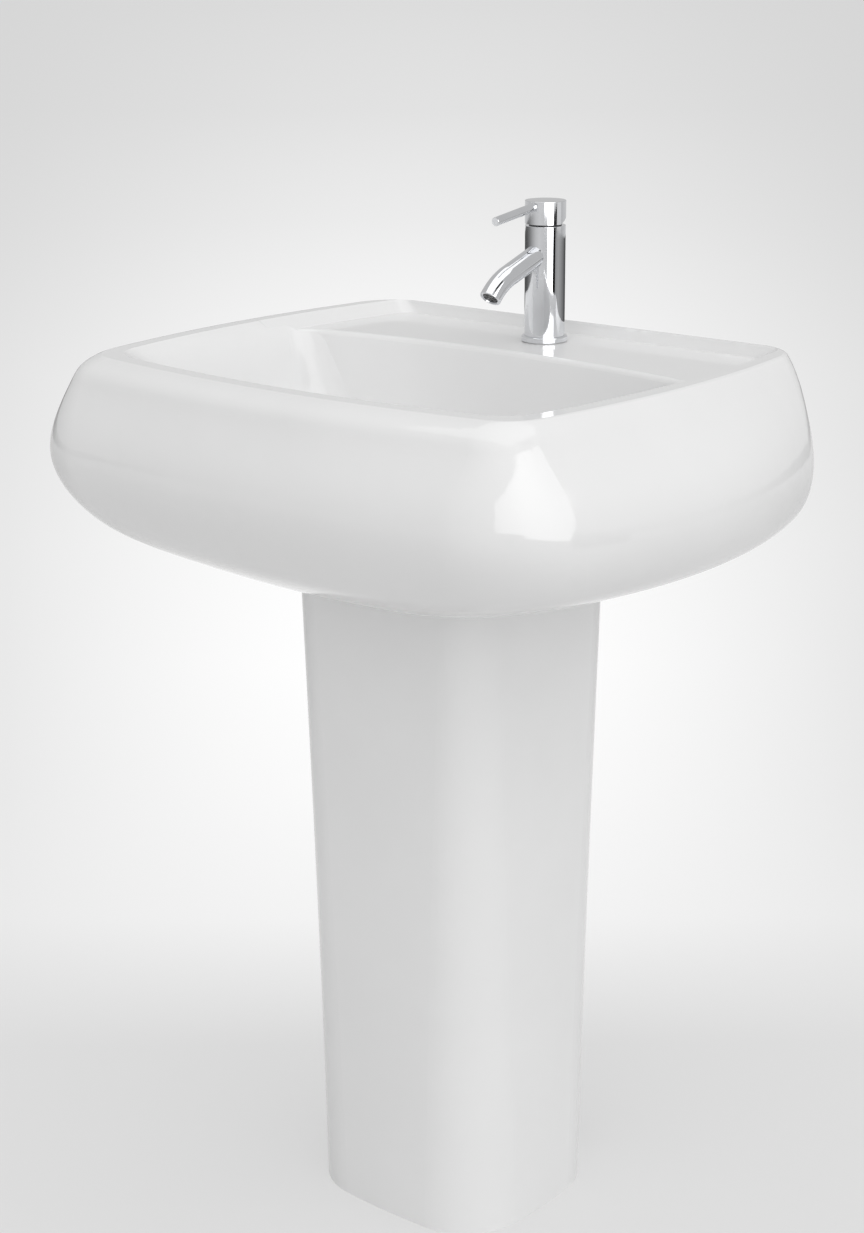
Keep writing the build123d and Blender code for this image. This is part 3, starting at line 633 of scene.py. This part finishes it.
# What polished metal mirrors round the horizon: degrees from the front towards the right, and tone.
HORIZON_TONES = (
    (-180.0, 0.09),
    (-95.0, 0.10),
    (-67.0, 0.22),
    (-50.0, 0.36),
    (-20.0, 0.60),
    (5.0, 0.70),
    (60.0, 0.60),
    (103.0, 0.34),
    (124.0, 0.41),
    (150.0, 0.28),
    (180.0, 0.09),
)
HORIZON_RADIUS = 1.65
HORIZON_BOTTOM = 0.60
HORIZON_TOP = 0.75


def side_card(name, corners):
    """A card in the softbox's plane."""

    def fill(form):
        form.faces.new([
            form.verts.new((*(SOFTBOX_FOOT + SOFTBOX_RUN * along), height)) for along, height in corners
        ])

    return card(name, fill)


def softbox(stage):
    """The large lamp to the right of the basin, brighter along the tube inside it."""
    material, light = light_material("softbox")
    along = light.place(-math.atan2(SOFTBOX_RUN.y, SOFTBOX_RUN.x))[0]
    lamp_along = SOFTBOX_FOOT @ SOFTBOX_RUN + SOFTBOX_LAMP
    offset = light.math("DIVIDE", light.math("SUBTRACT", along, lamp_along), LAMP_SPREAD)
    core = light.math("EXPONENT", light.math("MULTIPLY", light.math("MULTIPLY", offset, offset), -1.0))
    light.show(light.glow(light.math("MULTIPLY_ADD", core, stage.softbox_core, stage.softbox)))
    side_card("softbox", SOFTBOX_CORNERS).data.materials.append(material)


def flags():
    """The black cards."""
    for name, corners in FLAG_CORNERS.items():
        material, light = light_material(name)
        light.show(light.glow(FLAG_TONE))
        side_card(name, corners).data.materials.append(material)


def overhead():
    """The softbox over the basin."""

    def fill(form):
        form.faces.new([form.verts.new((*corner, OVERHEAD_HEIGHT)) for corner in OVERHEAD_CORNERS])

    material, light = light_material("overhead")
    light.show(light.glow(OVERHEAD_TONE))
    card("overhead", fill).data.materials.append(material)


def horizon():
    """A low ring of card round the basin, light in front and dark behind, for the chrome to mirror."""

    def fill(form):
        bmesh.ops.create_cone(
            form,
            segments=ROUND_STEPS,
            radius1=HORIZON_RADIUS,
            radius2=HORIZON_RADIUS,
            depth=HORIZON_TOP - HORIZON_BOTTOM,
            matrix=Matrix.Translation((0.0, 0.0, (HORIZON_TOP + HORIZON_BOTTOM) / 2)),
        )

    material, light = light_material("horizon")
    side, ahead = light.place()
    azimuth = light.math("ARCTAN2", side, light.math("MULTIPLY", ahead, -1.0))
    share = light.math("MULTIPLY_ADD", azimuth, 0.5 / math.pi, 0.5)
    stops = [((degrees + 180.0) / 360.0, tone) for degrees, tone in HORIZON_TONES]
    light.show(light.glow(light.tones(share, stops)))
    card("horizon", fill).data.materials.append(material)


# The broad lights of the studio: degrees from the front towards the right, degrees above the
# floor, and strength.
BROAD_LIGHTS = (
    (15.0, 20.0, 0.58),
    (60.0, 15.0, 1.10),
    (110.0, 25.0, 0.59),
    (0.0, 90.0, 1.20),
)
BROAD_FOCUS = 3.0  # how narrow each of them is
SEEN_SKY = 0.70  # tone of the sky, as the camera and the reflections see it


def sky(stage):
    """Even and broad soft light, which the glaze and the metal see as a plain pale tone."""
    world = bpy.data.worlds.new("studio")
    world.use_nodes = True
    light = Light(world.node_tree)
    direction = light.node("ShaderNodeTexCoord").outputs["Generated"]
    ambient = stage.even_light
    for heading, rise, strength in BROAD_LIGHTS:
        heading, rise = math.radians(heading), math.radians(rise)
        level = math.cos(rise)
        towards = light.node("ShaderNodeVectorMath", operation="DOT_PRODUCT")
        light.feed(towards.inputs[0], direction)
        light.feed(
            towards.inputs[1],
            (level * math.sin(heading), -level * math.cos(heading), math.sin(rise)),
        )
        lobe = light.math("POWER", light.math("MAXIMUM", towards.outputs["Value"], 0.0), BROAD_FOCUS)
        ambient = light.math("MULTIPLY_ADD", lobe, strength * stage.broad_light, ambient)
    seen = light.seen()
    unseen = light.math("SUBTRACT", 1.0, seen)
    background = light.node("ShaderNodeBackground")
    light.feed(
        background.inputs["Strength"],
        light.math("MULTIPLY_ADD", seen, SEEN_SKY, light.math("MULTIPLY", ambient, unseen)),
    )
    output = light.node("ShaderNodeOutputWorld")
    light.feed(output.inputs["Surface"], background.outputs["Background"])
    bpy.context.scene.world = world


# -------------------------------------------------------------------------- camera and add-on


SENSOR_WIDTH = 36.0  # millimetres
CAMERA_REACH = 200.0  # past the far edge of the floor


def heading_axis(stage):
    """Level direction in which the camera looks."""
    return Vector((-math.sin(stage.camera_heading), math.cos(stage.camera_heading), 0.0))


def camera_place(stage):
    """Where the camera stands, from the wall plane and the plane of symmetry."""
    return Vector((stage.camera_right, WALL - stage.camera_back, stage.camera_height))


def camera(stage):
    """The camera, at a standing person's view of the basin."""
    optics = bpy.data.cameras.new("camera")
    optics.sensor_width = SENSOR_WIDTH
    optics.lens = stage.lens
    optics.clip_end = CAMERA_REACH
    level = heading_axis(stage)
    ahead = level * math.cos(stage.camera_pitch) - Vector((0.0, 0.0, math.sin(stage.camera_pitch)))
    right = level.cross(Vector((0.0, 0.0, 1.0)))
    up = right.cross(ahead)
    roll = Matrix.Rotation(-stage.camera_roll, 3, "Z")
    turn = Matrix((right, up, -ahead)).transposed() @ roll
    holder = bpy.data.objects.new("camera", optics)
    holder.matrix_world = Matrix.Translation(camera_place(stage)) @ turn.to_4x4()
    bpy.context.scene.collection.objects.link(holder)
    bpy.context.scene.camera = holder


class BASIN_OT_stage(bpy.types.Operator):
    """Lay the floor, set up the softboxes and the cards, and place the camera."""

    bl_idname = "basin.stage"
    bl_label = "Set Stage"

    def execute(self, context):
        stage = context.scene.basin_stage

        def fill(form):
            bmesh.ops.create_circle(form, cap_ends=True, radius=stage.floor_radius, segments=ROUND_STEPS)

        stage_mesh("floor", fill).data.materials.append(floor_painted_light(stage))
        softbox(stage)
        flags()
        overhead()
        horizon()
        sky(stage)
        camera(stage)
        context.scene.view_settings.view_transform = "Standard"
        return {"FINISHED"}


class BASIN_PT_panel(bpy.types.Panel):
    """Every step of the finish, in order, and its sizes and colours."""

    bl_idname = "BASIN_PT_panel"
    bl_label = "Pedestal Basin"
    bl_space_type = "VIEW_3D"
    bl_region_type = "UI"
    bl_category = "Basin"

    def draw(self, context):
        for operator in OPERATORS:
            self.layout.operator(operator.bl_idname)
        for name in GROUPS:
            box = self.layout.box()
            group = getattr(context.scene, name)
            for key in group.bl_rna.properties.keys():
                if key not in ("rna_type", "name"):
                    box.prop(group, key)


OPERATORS = (BASIN_OT_stage, BASIN_OT_china, BASIN_OT_metal, BASIN_OT_threads, BASIN_OT_plastic)
GROUPS = {
    "basin_china": BasinChina,
    "basin_metal": BasinMetal,
    "basin_plastic": BasinPlastic,
    "basin_stage": BasinStage,
}


def register():
    """Add the groups, the operators and the panel."""
    for item in (*GROUPS.values(), *OPERATORS, BASIN_PT_panel):
        bpy.utils.register_class(item)
    for name, group in GROUPS.items():
        setattr(bpy.types.Scene, name, PointerProperty(type=group))


def unregister():
    """Take them away again."""
    for name in GROUPS:
        delattr(bpy.types.Scene, name)
    for item in reversed((*GROUPS.values(), *OPERATORS, BASIN_PT_panel)):
        bpy.utils.unregister_class(item)


def main():
    """Build every step in order."""
    register()
    for operator in OPERATORS:
        group, name = operator.bl_idname.split(".")
        getattr(getattr(bpy.ops, group), name)()


if __name__ == "__main__":
    main()
